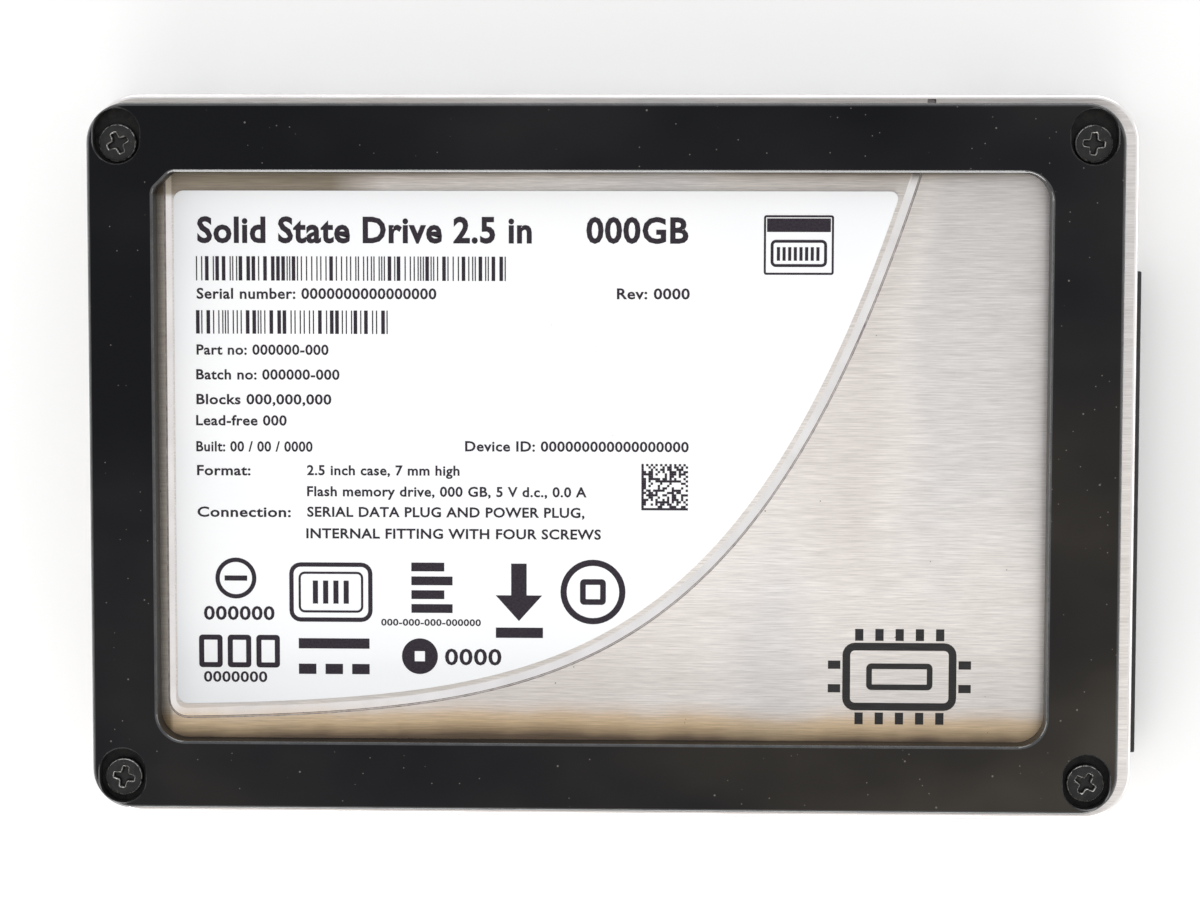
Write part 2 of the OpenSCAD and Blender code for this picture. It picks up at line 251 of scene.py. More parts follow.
def round_corners(points, radius_at, steps=6):
    """The polygon with arcs in place of some corners; radius_at is {corner: radius}."""
    rounded = []
    for number, point in enumerate(points):
        corner = Vector(point)
        radius = radius_at.get(number, 0)
        if not radius:
            rounded.append(tuple(corner))
            continue
        back = (Vector(points[number - 1]) - corner).normalized()
        ahead = (Vector(points[(number + 1) % len(points)]) - corner).normalized()
        half = back.angle(ahead) / 2
        centre = corner + (back + ahead).normalized() * radius / math.sin(half)
        spoke = corner + back * radius / math.tan(half) - centre
        turn = math.copysign(math.pi - 2 * half, ahead.x * back.y - ahead.y * back.x)
        for step in range(steps + 1):
            rounded.append(tuple(centre + Matrix.Rotation(turn * step / steps, 2) @ spoke))
    return rounded


def panel_y(x):
    """The sunken panel's curved edge."""
    return PANEL_FLOOR + PANEL_RISE * ((x - PANEL_START) / PANEL_RUN) ** PANEL_POWER


def panel_point(x, margin):
    """A point of the curved edge, moved into the panel by a margin."""
    slope = PANEL_POWER * (panel_y(x) - PANEL_FLOOR) / (x - PANEL_START)
    length = math.hypot(1, slope)
    return (x - margin * slope / length, panel_y(x) + margin / length)


def panel_outline(left, top, margin, corner):
    """outline(inset) between a left edge, a top edge and the curved edge, corners rounded."""
    samples = 90
    curve = [panel_point(left + (PANEL_END - left) * i / samples, margin) for i in range(samples + 1)]
    curve = [p for p in curve if p[0] > left + 1.35 * corner and p[1] < top - corner]
    foot = (left, panel_point(left, margin)[1])
    low, high = left, PANEL_END
    for _ in range(60):
        middle = (low + high) / 2
        if panel_point(middle, margin)[1] < top:
            low = middle
        else:
            high = middle
    tip = (panel_point(low, margin)[0], top)
    points = [foot, *curve, tip, (left, top)]
    last = len(points) - 1
    return polygon(round_corners(points, {0: corner, last - 1: corner * 0.7, last: corner}))


# ---- mesh building

def round_over(radius, top, steps=4):
    """Profile of a rounded upper edge, from the flat top down to the wall, as (inset, z)."""
    turns = [math.pi / 2 * step / steps for step in range(steps + 1)]
    return [(radius * (1 - math.sin(a)), top - radius * (1 - math.cos(a))) for a in turns]


def round_under(radius, bottom, steps=4):
    """Profile of a rounded lower edge, from the wall down to the flat underside."""
    turns = [math.pi / 2 * step / steps for step in range(steps + 1)]
    return [(radius * (1 - math.cos(a)), bottom + radius * (1 - math.sin(a))) for a in turns]


def in_scene(name, data):
    """A new object, linked to the scene."""
    obj = bpy.data.objects.new(name, data)
    bpy.context.scene.collection.objects.link(obj)
    return obj


class Shell:
    """A mesh made of rings of points, the walls between them and the faces that close them."""

    def __init__(self, bm=None):
        self.bm = bm or bmesh.new()

    def ring(self, points, z):
        verts = [self.bm.verts.new((x, y, z)) for x, y in points]
        for number, vert in enumerate(verts):
            self.bm.edges.new((verts[number - 1], vert))
        return verts

    def bridge(self, upper, lower):
        for number in range(len(upper)):
            self.bm.faces.new((upper[number - 1], upper[number], lower[number], lower[number - 1]))

    def wall(self, outline, profile):
        """Rings of outline(inset) at each (inset, z); gives the first and the last ring."""
        rings = [self.ring(outline(inset), z) for inset, z in profile]
        for upper, lower in zip(rings, rings[1:]):
            self.bridge(upper, lower)
        return rings[0], rings[-1]

    def close(self, *rings):
        """A flat face inside the first ring, with the other rings as its holes."""
        edges = [self.bm.edges.get((ring[number - 1], ring[number]))
                 for ring in rings for number in range(len(ring))]
        bmesh.ops.triangle_fill(self.bm, edges=edges, use_beauty=True)

    def column(self, outline, profile):
        """A closed solid of one outline."""
        first, last = self.wall(outline, profile)
        self.close(first)
        self.close(last)

    def solid(self, name, turn=None):
        """The object made of this mesh, still in millimetres."""
        if turn is not None:
            self.bm.transform(turn)
        bmesh.ops.recalc_face_normals(self.bm, faces=self.bm.faces)
        mesh = bpy.data.meshes.new(name)
        self.bm.to_mesh(mesh)
        self.bm.free()
        return in_scene(name, mesh)


def column(name, outline, profile):
    """The solid inside one outline."""
    shell = Shell()
    shell.column(outline, profile)
    return shell.solid(name)


def turned(name, centre, profile, turn=None, steps=48):
    """A solid of revolution about Z, from (radius, z) pairs."""
    shell = Shell()
    shell.column(circle(centre, 0, steps), [(-radius, z) for radius, z in profile])
    return shell.solid(name, turn)


def bevelled_box(name, low, high, bevel=0.0, segments=2):
    """A box between two corners with all its edges rounded."""
    bm = bmesh.new()
    size = Vector(high) - Vector(low)
    middle = (Vector(high) + Vector(low)) / 2
    place = Matrix.Translation(middle) @ Matrix.Diagonal((*size, 1))
    bmesh.ops.create_cube(bm, size=1, matrix=place)
    if bevel:
        bmesh.ops.bevel(bm, geom=bm.edges[:], offset=bevel, segments=segments,
                        profile=0.5, affect="EDGES", clamp_overlap=True)
    return Shell(bm).solid(name)


def evaluated_mesh(obj):
    bpy.context.view_layer.update()
    graph = bpy.context.evaluated_depsgraph_get()
    return bpy.data.meshes.new_from_object(obj.evaluated_get(graph))


def drop(obj):
    data = obj.data
    bpy.data.objects.remove(obj)
    if isinstance(data, bpy.types.Mesh):
        bpy.data.meshes.remove(data)
    else:
        bpy.data.curves.remove(data)


def combine(target, tool, operation="DIFFERENCE"):
    """Cuts the tool out of the target, or joins it on, and removes the tool."""
    modifier = target.modifiers.new("combine", "BOOLEAN")
    modifier.operation = operation
    modifier.solver = "EXACT"
    modifier.object = tool
    mesh = evaluated_mesh(target)
    target.modifiers.clear()
    old = target.data
    target.data = mesh
    bpy.data.meshes.remove(old)
    drop(tool)
    return target


def merge(name, objects):
    """One object holding the meshes of several, which are removed."""
    bm = bmesh.new()
    for obj in objects:
        bm.from_mesh(obj.data)
        drop(obj)
    return Shell(bm).solid(name)


def join_flats(mesh):
    """Joins faces that lie in one plane, so that flat sides shade evenly."""
    bm = bmesh.new()
    bm.from_mesh(mesh)
    bmesh.ops.dissolve_limit(bm, angle_limit=FLAT_ANGLE, verts=bm.verts, edges=bm.edges)
    bm.to_mesh(mesh)
    bm.free()


def finish(obj, materials, replaces=(), smooth=True):
    """Turns a piece into metres, shades it and joins it to the frame."""
    mesh = obj.data
    mesh.materials.clear()
    if smooth:
        join_flats(mesh)
    for material in materials:
        mesh.materials.append(material)
    mesh.transform(Matrix.Scale(MM, 4))
    if smooth:
        mesh.shade_smooth()
        mesh.set_sharp_from_angle(angle=SHARP_ANGLE)
        weighted = obj.modifiers.new("even_shading", "WEIGHTED_NORMAL")
        weighted.keep_sharp = True
        weighted.weight = 80
    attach(obj, BODY)
    if replaces:
        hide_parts(*replaces)
    return obj


# ---- materials

NO_TINT = (1.0, 1.0, 1.0)
REFLECTION_REACH = 4.0
# Factors on the metal's colour, by share of the reach from the window's wall: painted reflection and shade
# of the dark walls, darker and golden-brown close to them
FOOT_REFLECTION = ((0.02, (0.27, 0.21, 0.16)), (0.17, (0.62, 0.49, 0.33)), (0.36, (0.90, 0.73, 0.50)),
              (0.52, (0.93, 0.78, 0.59)), (0.64, (0.97, 0.89, 0.80)), (0.79, (1.0, 0.97, 0.94)),
              (0.93, NO_TINT))
TOP_REFLECTION = ((0.0, (0.34, 0.31, 0.27)), (0.10, (0.84, 0.82, 0.79)), (0.22, (0.99, 0.985, 0.98)),
             (0.45, NO_TINT))
TOP_LEFT_REFLECTION = ((0.0, (0.26, 0.24, 0.19)), (0.1, (0.35, 0.315, 0.25)), (0.5, (0.50, 0.455, 0.385)),
                  (0.6, (0.9, 0.89, 0.87)), (0.7, NO_TINT))
TOP_LEFT_REACH = (-25.0, -20.0)
# How far the painted reflection's borders wander, and how far they run on under the frame
FOOT_WANDER = 3.6
TOP_WANDER = 0.6
REFLECTION_OVERLAP = 0.2
# Painted shade: a darker strip along the window's left wall
LEFT_WALL_SHADE = (0.52, 0.50, 0.46)
LEFT_WALL_SHADE_REACH = 1.5
LEFT_WALL_SHADE_START = WINDOW_LEFT - 0.1
# Painted shade: the cover's colour grows darker towards its corner at +X +Y
CORNER_SHADE_PER_MM = 0.0125
CORNER_SHADE = ((0.0, NO_TINT), (0.2, (0.97, 0.97, 0.97)), (0.75, (0.87, 0.87, 0.87)))
# Painted sheen: the spacer grows lighter from the +Y side at the back to the -Y side at the front
SHEEN_LEAN = 1.1
SHEEN_REACH = 260


class Surface:
    """A material in the making: one Principled shader and the nodes that drive it."""

    def __init__(self, name, **plain):
        self.material = bpy.data.materials.new(name)
        self.material.use_nodes = True
        self.tree = self.material.node_tree
        self.shader = self.tree.nodes["Principled BSDF"]
        self.place = self.add("ShaderNodeTexCoord").outputs["Object"]
        for socket, value in plain.items():
            self.feed(self.shader.inputs[socket.replace("_", " ")], value)

    def add(self, kind, **settings):
        node = self.tree.nodes.new(kind)
        for name, value in settings.items():
            setattr(node, name, value)
        return node

    def feed(self, socket, value):
        if isinstance(value, bpy.types.NodeSocket):
            self.tree.links.new(value, socket)
        elif isinstance(value, tuple) and len(value) == 3 and socket.type == "RGBA":
            socket.default_value = (*value, 1)
        else:
            socket.default_value = value

    def spots_per_mm(self, scale):
        """Object coordinates scaled to cells per millimetre along X, Y and Z."""
        steps = scale if isinstance(scale, tuple) else (scale,) * 3
        mapping = self.add("ShaderNodeMapping")
        self.feed(mapping.inputs["Vector"], self.place)
        mapping.inputs["Scale"].default_value = [step / MM for step in steps]
        return mapping.outputs["Vector"]

    def place_xy(self, scale=1.0):
        """X and Y in millimetres, times a scale."""
        split = self.add("ShaderNodeSeparateXYZ")
        self.feed(split.inputs["Vector"], self.spots_per_mm(scale))
        return split.outputs["X"], split.outputs["Y"]

    def noise(self, scale, detail=3.0, roughness=0.5):
        node = self.add("ShaderNodeTexNoise")
        self.feed(node.inputs["Vector"], self.spots_per_mm(scale))
        node.inputs["Scale"].default_value = 1.0
        node.inputs["Detail"].default_value = detail
        node.inputs["Roughness"].default_value = roughness
        return node.outputs["Fac"]

    def dots(self, scale, radius, share):
        """1 on small scattered spots and 0 elsewhere; share is how many cells hold one."""
        node = self.add("ShaderNodeTexVoronoi")
        self.feed(node.inputs["Vector"], self.spots_per_mm(scale))
        node.inputs["Scale"].default_value = 1.0
        near = self.ramp(node.outputs["Distance"], (radius * 0.6, 1.0), (radius, 0.0))
        split = self.add("ShaderNodeSeparateColor")
        self.feed(split.inputs["Color"], node.outputs["Color"])
        picked = self.math("LESS_THAN", split.outputs["Red"], share)
        return self.math("MULTIPLY", near, picked)

    def ramp(self, factor, *stops):
        node = self.add("ShaderNodeValToRGB")
        self.feed(node.inputs["Fac"], factor)
        elements = node.color_ramp.elements
        while len(elements) < len(stops):
            elements.new(0.5)
        for element, (position, value) in zip(elements, stops):
            element.position = position
            colour = value if isinstance(value, tuple) else (value,) * 3
            element.color = (*colour, 1)
        return node.outputs["Color"]

    def math(self, operation, first, second=0.0):
        node = self.add("ShaderNodeMath", operation=operation)
        self.feed(node.inputs[0], first)
        self.feed(node.inputs[1], second)
        return node.outputs["Value"]

    def mix(self, factor, first, second, mode="MIX"):
        node = self.add("ShaderNodeMix", data_type="RGBA", blend_type=mode)
        self.feed(node.inputs[0], factor)
        self.feed(node.inputs[6], first)
        self.feed(node.inputs[7], second)
        return node.outputs[2]

    def tint(self, first, second):
        """Two colours multiplied."""
        return self.mix(1.0, first, second, "MULTIPLY")

    def done(self, colour, rough, height, depth, strength):
        """The material with its colour, its roughness and a bump of a depth in millimetres."""
        bump = self.add("ShaderNodeBump")
        bump.inputs["Strength"].default_value = strength
        bump.inputs["Distance"].default_value = depth * MM
        self.feed(bump.inputs["Height"], height)
        self.feed(self.shader.inputs["Base Color"], colour)
        self.feed(self.shader.inputs["Roughness"], rough)
        self.feed(self.shader.inputs["Normal"], bump.outputs["Normal"])
        return self.material


def window_wall_reflection(s, with_left_wall_shade):
    """Painted reflection and shade of the window's walls along its long edges, as a factor on the metal's
    colour.
    """
    x, y = s.place_xy()
    drift = s.math("SUBTRACT", s.noise((0.045, 0.02, 0.1), detail=4, roughness=0.6), 0.5)
    from_foot = s.math("ADD", s.math("ADD", y, WINDOW_HALF), s.math("MULTIPLY", drift, FOOT_WANDER))
    from_top = s.math("ADD", s.math("SUBTRACT", WINDOW_HALF, y), s.math("MULTIPLY", drift, TOP_WANDER))
    foot = s.ramp(s.math("DIVIDE", from_foot, REFLECTION_REACH), *FOOT_REFLECTION)
    top_share = s.math("DIVIDE", from_top, REFLECTION_REACH)
    fade = s.add("ShaderNodeMapRange")
    s.feed(fade.inputs["Value"], x)
    fade.inputs["From Min"].default_value = TOP_LEFT_REACH[0]
    fade.inputs["From Max"].default_value = TOP_LEFT_REACH[1]
    top_left = s.ramp(top_share, *TOP_LEFT_REFLECTION)
    top = s.mix(fade.outputs["Result"], top_left, s.ramp(top_share, *TOP_REFLECTION))
    middle = (WINDOW_LEFT + WINDOW_RIGHT) / 2
    half = (WINDOW_RIGHT - WINDOW_LEFT) / 2
    from_middle = s.math("ABSOLUTE", s.math("SUBTRACT", x, middle))
    in_length = s.math("LESS_THAN", from_middle, half + REFLECTION_OVERLAP)
    in_width = s.math("LESS_THAN", s.math("ABSOLUTE", y), WINDOW_HALF + REFLECTION_OVERLAP)
    wall_reflection = s.tint(foot, top)
    if with_left_wall_shade:
        from_left = s.math("DIVIDE", s.math("SUBTRACT", x, LEFT_WALL_SHADE_START), LEFT_WALL_SHADE_REACH)
        strip = s.ramp(from_left, (0.0, LEFT_WALL_SHADE), (0.6, LEFT_WALL_SHADE), (0.85, NO_TINT))
        wall_reflection = s.tint(wall_reflection, strip)
    return s.mix(s.math("MULTIPLY", in_length, in_width), NO_TINT, wall_reflection)


def brushed_aluminium():
    """The cover's flat faces: fine streaks along the case, smudges and small pits, with painted shade
    towards the +X +Y corner and the painted reflection of the window's walls.
    """
    s = Surface("brushed_cover", Metallic=1.0, Anisotropic=0.88)
    across = s.add("ShaderNodeCombineXYZ")
    across.inputs["Y"].default_value = 1.0
    s.feed(s.shader.inputs["Tangent"], across.outputs["Vector"])
    fine = s.noise((0.3, 7.5, 3), detail=4, roughness=0.66)
    broad = s.noise((0.03, 0.9, 1), detail=3, roughness=0.6)
    cloud = s.noise((0.05, 0.02, 0.1), detail=2)
    streaks = s.ramp(fine, (0.30, (0.66, 0.63, 0.61)), (0.7, (0.99, 0.955, 0.93)))
    bands = s.ramp(broad, (0.3, (0.93, 0.925, 0.915)), (0.7, NO_TINT))
    smudges = s.ramp(cloud, (0.38, (0.93, 0.905, 0.885)), (0.5, (1.0, 0.985, 0.97)),
                     (0.62, (0.91, 0.91, 0.92)))
    colour = s.tint(s.tint(streaks, bands), smudges)
    # Painted shade: darker towards the corner at +X +Y
    corner_shade = s.ramp(s.math("ADD", *s.place_xy(CORNER_SHADE_PER_MM)), *CORNER_SHADE)
    # Painted reflection and shade of the window's walls
    colour = s.tint(s.tint(colour, corner_shade), window_wall_reflection(s, True))
    pits = s.dots(0.55, 0.045, 0.3)
    return s.done(s.mix(pits, colour, (0.16, 0.13, 0.11)),
                  s.ramp(fine, (0.25, 0.42), (0.75, 0.54)), s.math("SUBTRACT", fine, pits), 0.004, 0.6)


def smooth_aluminium():
    """The cover's rounded edges and the panel's slope: fine satin metal with the painted reflection of the
    window's walls.
    """
    s = Surface("smooth_cover", Metallic=1.0)
    grain = s.noise(7, detail=3, roughness=0.6)
    cloud = s.noise(0.25, detail=2)
    # Painted reflection and shade of the window's walls
    wall_reflection = window_wall_reflection(s, False)
    base = s.ramp(cloud, (0.35, (0.74, 0.71, 0.70)), (0.65, (0.82, 0.795, 0.785)))
    return s.done(s.tint(base, wall_reflection), s.ramp(grain, (0.3, 0.26), (0.7, 0.36)), grain, 0.003, 0.5)


def mottled(name, scale, tones, rough, depth, strength=0.5, detail=4, spread=0.6, **plain):
    """A surface whose tone, roughness and height all follow one noise."""
    s = Surface(name, **plain)
    mottle = s.noise(scale, detail, spread)
    return s.done(s.ramp(mottle, *tones), s.ramp(mottle, *rough), mottle, depth, strength)


def groove_shade_aluminium():
    """The fine groove round the panel and the slot's inside, painted darker as shade in these recesses."""
    return mottled("groove_cover", 1.6, ((0.35, (0.30, 0.27, 0.27)), (0.7, (0.58, 0.54, 0.53))),
                   ((0.3, 0.45), (0.7, 0.6)), depth=0.004, Metallic=1.0)


def cast_aluminium():
    """The tray: fine matt grain with faint handling marks."""
    s = Surface("cast_tray", Metallic=1.0)
    grain = s.noise(8, detail=4, roughness=0.65)
    cloud = s.noise(0.12, detail=3)
    marks = s.ramp(s.noise((0.12, 4, 4), detail=2), (0.66, 0.0), (0.74, 1.0))
    base = s.ramp(cloud, (0.35, (0.62, 0.61, 0.60)), (0.65, (0.67, 0.66, 0.65)))
    return s.done(s.mix(s.math("MULTIPLY", marks, 0.35), base, (0.80, 0.79, 0.78)),
                  s.ramp(grain, (0.3, 0.36), (0.7, 0.52)), grain, 0.008, 0.7)


def satin_black_plastic():
    """The spacer: satin moulded plastic with a painted sheen that grows towards the connector, and sparse
    dust.
    """
    s = Surface("spacer_satin", Specular_IOR_Level=0.11)
    grain = s.noise(9, detail=3, roughness=0.6)
    smudge = s.noise((0.035, 0.05, 0.3), detail=3, roughness=0.5)
    x, y = s.place_xy()
    across = s.math("SUBTRACT", x, s.math("MULTIPLY", y, SHEEN_LEAN))
    # Painted sheen: lighter along the diagonal towards the front and the connector
    sheen = s.math("ADD", s.math("DIVIDE", across, SHEEN_REACH), smudge)
    base = s.ramp(sheen, (0.27, (0.0022, 0.0024, 0.0038)), (0.5, (0.0085, 0.0082, 0.0095)),
                  (0.72, (0.020, 0.0175, 0.015)), (0.92, (0.042, 0.036, 0.03)))
    dust = s.math("MAXIMUM", s.dots(0.6, 0.07, 0.3), s.dots(1.5, 0.11, 0.2))
    uneven = s.math("MULTIPLY", s.math("ADD", grain, smudge), 0.5)
    colour = s.mix(s.math("MULTIPLY", dust, 0.5), base, (0.24, 0.22, 0.2))
    rough = s.ramp(uneven, (0.35, 0.30), (0.65, 0.45))
    return s.done(colour, rough, s.math("ADD", grain, dust), 0.006, 0.6)


def lightened_pocket():
    """The counterbores over the screws: mottled plastic, painted lighter to make up for the shade in these
    deep pockets.
    """
    return mottled("spacer_pocket", 1.3, ((0.35, (0.004, 0.0042, 0.005)), (0.7, (0.034, 0.032, 0.030))),
                   ((0.35, 0.35), (0.7, 0.6)), depth=0.01, strength=0.6, detail=5, spread=0.7,
                   Specular_IOR_Level=0.15)


def handled_edge():
    """The spacer's rounded edges, polished and greyed by handling."""
    s = Surface("spacer_edge", Specular_IOR_Level=0.85)
    wear = s.noise((0.5, 0.5, 1.0), detail=4, roughness=0.65)
    return s.done(s.ramp(wear, (0.38, (0.005, 0.0055, 0.007)), (0.72, (0.03, 0.03, 0.031))),
                  s.ramp(s.noise(6, detail=3), (0.3, 0.14), (0.7, 0.24)), wear, 0.004, 0.5)


def blackened_steel():
    """The corner screws: a black coat with a dusty, uneven surface."""
    s = Surface("screw_black", Specular_IOR_Level=0.25)
    grain = s.noise(6, detail=4, roughness=0.65)
    patches = s.noise(1.4, detail=3, roughness=0.6)
    dust = s.dots(3.0, 0.2, 0.22)
    base = s.ramp(patches, (0.35, (0.010, 0.010, 0.011)), (0.7, (0.024, 0.023, 0.022)))
    return s.done(s.mix(s.math("MULTIPLY", dust, 0.3), base, (0.22, 0.2, 0.18)),
                  s.ramp(grain, (0.3, 0.3), (0.7, 0.5)), grain, 0.02, 0.8)


def worn_highlit_steel():
    """The screws' recess edges: the black coat worn through in places, and painted bright as a highlight
    along these edges.
    """
    return mottled("screw_worn_highlight", 2.6, ((0.38, (0.08, 0.077, 0.072)), (0.54, (0.86, 0.84, 0.81))),
                   ((0.4, 0.5), (0.6, 0.3)), depth=0.02, strength=0.6, Metallic=1.0)


def coated_paper():
    """The label: smooth white coated paper with a little dust."""
    s = Surface("label_white")
    fibre = s.noise(3.5, detail=4, roughness=0.6)
    wave = s.noise(0.06, detail=2)
    specks = s.dots(0.5, 0.03, 0.3)
    base = s.ramp(wave, (0.3, (0.83, 0.84, 0.855)), (0.7, (0.875, 0.875, 0.875)))
    return s.done(s.mix(s.math("MULTIPLY", specks, 0.6), base, (0.35, 0.3, 0.27)),
                  s.ramp(fibre, (0.3, 0.42), (0.7, 0.52)), fibre, 0.002, 0.5)


def print_ink():
    """Thermal print: near-black with a faint purple cast, thinner in places."""
    return mottled("ink_dark", 5, ((0.3, (0.018, 0.013, 0.02)), (0.75, (0.04, 0.032, 0.042))),
                   ((0.3, 0.45), (0.7, 0.6)), depth=0.002, strength=0.4, detail=3,
                   Specular_IOR_Level=0.15)


def emblem_ink():
    """The dark mark printed on the metal."""
    return mottled("emblem_dark", (0.4, 9, 3), ((0.3, (0.012, 0.011, 0.012)), (0.7, (0.03, 0.028, 0.028))),
                   ((0.3, 0.32), (0.7, 0.48)), depth=0.003, detail=3, Specular_IOR_Level=0.25)


def moulded(name, dark, light, scale, depth, rough=(0.4, 0.6), level=0.4):
    """A moulded or sintered surface: two shades of one colour and a fine grain."""
    s = Surface(name, Specular_IOR_Level=level)
    grain = s.noise(scale, detail=4, roughness=0.6)
    cloud = s.noise(scale * 0.12, detail=3)
    speckle = s.ramp(grain, (0.3, dark), (0.7, light))
    colour = s.mix(0.35, s.ramp(cloud, (0.35, dark), (0.65, light)), speckle)
    rough = s.ramp(grain, (0.3, rough[0]), (0.7, rough[1]))
    return s.done(colour, rough, grain, depth, 0.7)


def plated(name, dark, light, scale, rough=(0.2, 0.35)):
    """Plated metal with a soft variation in tone and fine scratches."""
    s = Surface(name, Metallic=1.0)
    cloud = s.noise(scale, detail=4, roughness=0.6)
    scratch = s.noise((scale * 0.6, scale * 9, scale * 3), detail=3, roughness=0.7)
    return s.done(s.ramp(cloud, (0.35, dark), (0.65, light)),
                  s.ramp(scratch, (0.3, rough[0]), (0.7, rough[1])), scratch, 0.004, 0.5)


def solder_mask():
    """The board: green mask over a glass weave, with fine tracks under it."""
    s = Surface("board_green", Specular_IOR_Level=0.5)
    weave = s.add("ShaderNodeTexBrick")
    s.feed(weave.inputs["Vector"], s.spots_per_mm(1.6))
    weave.inputs["Scale"].default_value = 1.0
    weave.inputs["Mortar Size"].default_value = 0.06
    weave.inputs["Brick Width"].default_value = 1.0
    weave.inputs["Row Height"].default_value = 0.5
    tracks = s.ramp(s.noise((0.25, 1.9, 1), detail=0), (0.5, 0.0), (0.52, 1.0))
    base = s.mix(tracks, (0.006, 0.075, 0.035), (0.012, 0.13, 0.06))
    colour = s.mix(s.math("MULTIPLY", weave.outputs["Fac"], 0.3), base, (0.004, 0.05, 0.025))
    rough = s.ramp(s.noise(4, detail=3), (0.3, 0.22), (0.7, 0.36))
    return s.done(colour, rough, s.math("ADD", tracks, weave.outputs["Fac"]), 0.012, 0.6)


# ---- the case

def thread_profile(radius, mouth, depth, pitch, thread):
    """(radius, depth) pairs of a tapped hole from its bevelled mouth to its flat end."""
    profile = [(radius + mouth + 0.3, -0.3), (radius + mouth, 0), (radius, mouth)]
    turn = mouth + pitch / 4
    while turn + pitch < depth:
        profile += [(radius, turn), (radius + thread, turn + pitch / 2)]
        turn += pitch
    return profile + [(radius, turn), (radius, depth)]


def tray():
    """The tray: walls, floor, bosses, posts and every tapped hole."""
    shell = Shell()
    rim, foot = shell.wall(case_plan(0), round_over(SEAM_ROUND, SEAM_Z, steps=2)
                           + round_under(FOOT_ROUND, CASE_LOW.z, steps=5))
    lip, floor = shell.wall(case_plan(WALL), [(0, SEAM_Z), (0, FLOOR_T)])
    shell.close(rim, lip)
    shell.close(foot)
    shell.close(floor)
    case = shell.solid("tray_shell")
    root = FLOOR_T / 2
    far = CASE_W / 2 - WALL / 2
    near = far - BOSS[1] + BOSS_IN_WALL
    post_edge = 0.15
    for sx, sy in QUADRANTS:
        low = (sx * MOUNT_X - BOSS[0] / 2, min(sy * near, sy * far), root)
        high = (sx * MOUNT_X + BOSS[0] / 2, max(sy * near, sy * far), BOSS[2])
        combine(case, bevelled_box("boss", low, high, 0.2), "UNION")
        profile = [(BOARD_POST_R - post_edge, BOARD_Z), (BOARD_POST_R, BOARD_Z - post_edge),
                   (BOARD_POST_R, root)]
        combine(case, turned("post", (sx * BOARD_POST_X, sy * BOARD_POST_Y), profile), "UNION")
    for spot in SCREW_SPOTS:
        post = turned("corner_post", spot, [(CORNER_POST_R, SEAM_Z), (CORNER_POST_R, root)])
        limit = column("limit", case_plan(WALL / 2), [(0, SEAM_Z + 1), (0, 0)])
        combine(post, limit, "INTERSECT")
        combine(case, post, "UNION")
    cut_case_holes(case)
    combine(case, bevelled_box("mouth", (PLUG_BACK, PLUG_SIDES[0], FLOOR_T),
                               (HUGE, PLUG_SIDES[1], HUGE)))
    finish(case, [cast_aluminium()], ("base_tray",))


def cut_case_holes(case):
    """Tapped holes for the case screws, the board screws and the mounting screws."""
    tap_r = THREAD_R + TAP_GAP
    for spot in SCREW_SPOTS:
        combine(case, turned("hole", spot, [(tap_r, SEAM_Z + 1), (tap_r, CASE_TAP_FOOT)]))
    board_tap = [(BOARD_TAP_R, SEAM_Z), (BOARD_TAP_R, BOARD_TAP_FOOT)]
    bottom_tap = thread_profile(MOUNT_R, MOUTH_BEVEL, BOTTOM_HOLE_DEPTH, HOLE_PITCH, HOLE_THREAD)
    side_tap = thread_profile(MOUNT_R, MOUTH_BEVEL, SIDE_HOLE_DEPTH, HOLE_PITCH, HOLE_THREAD)
    for sx, sy in QUADRANTS:
        combine(case, turned("hole", (sx * BOARD_POST_X, sy * BOARD_POST_Y), board_tap))
        combine(case, turned("hole", (sx * MOUNT_X, sy * MOUNT_Y), bottom_tap))
        turn = (Matrix.Translation((sx * MOUNT_X, sy * CASE_W / 2, SIDE_HOLE_Z))
                @ Matrix.Rotation(sy * math.pi / 2, 4, "X"))
        combine(case, turned("hole", (0, 0), side_tap, turn))


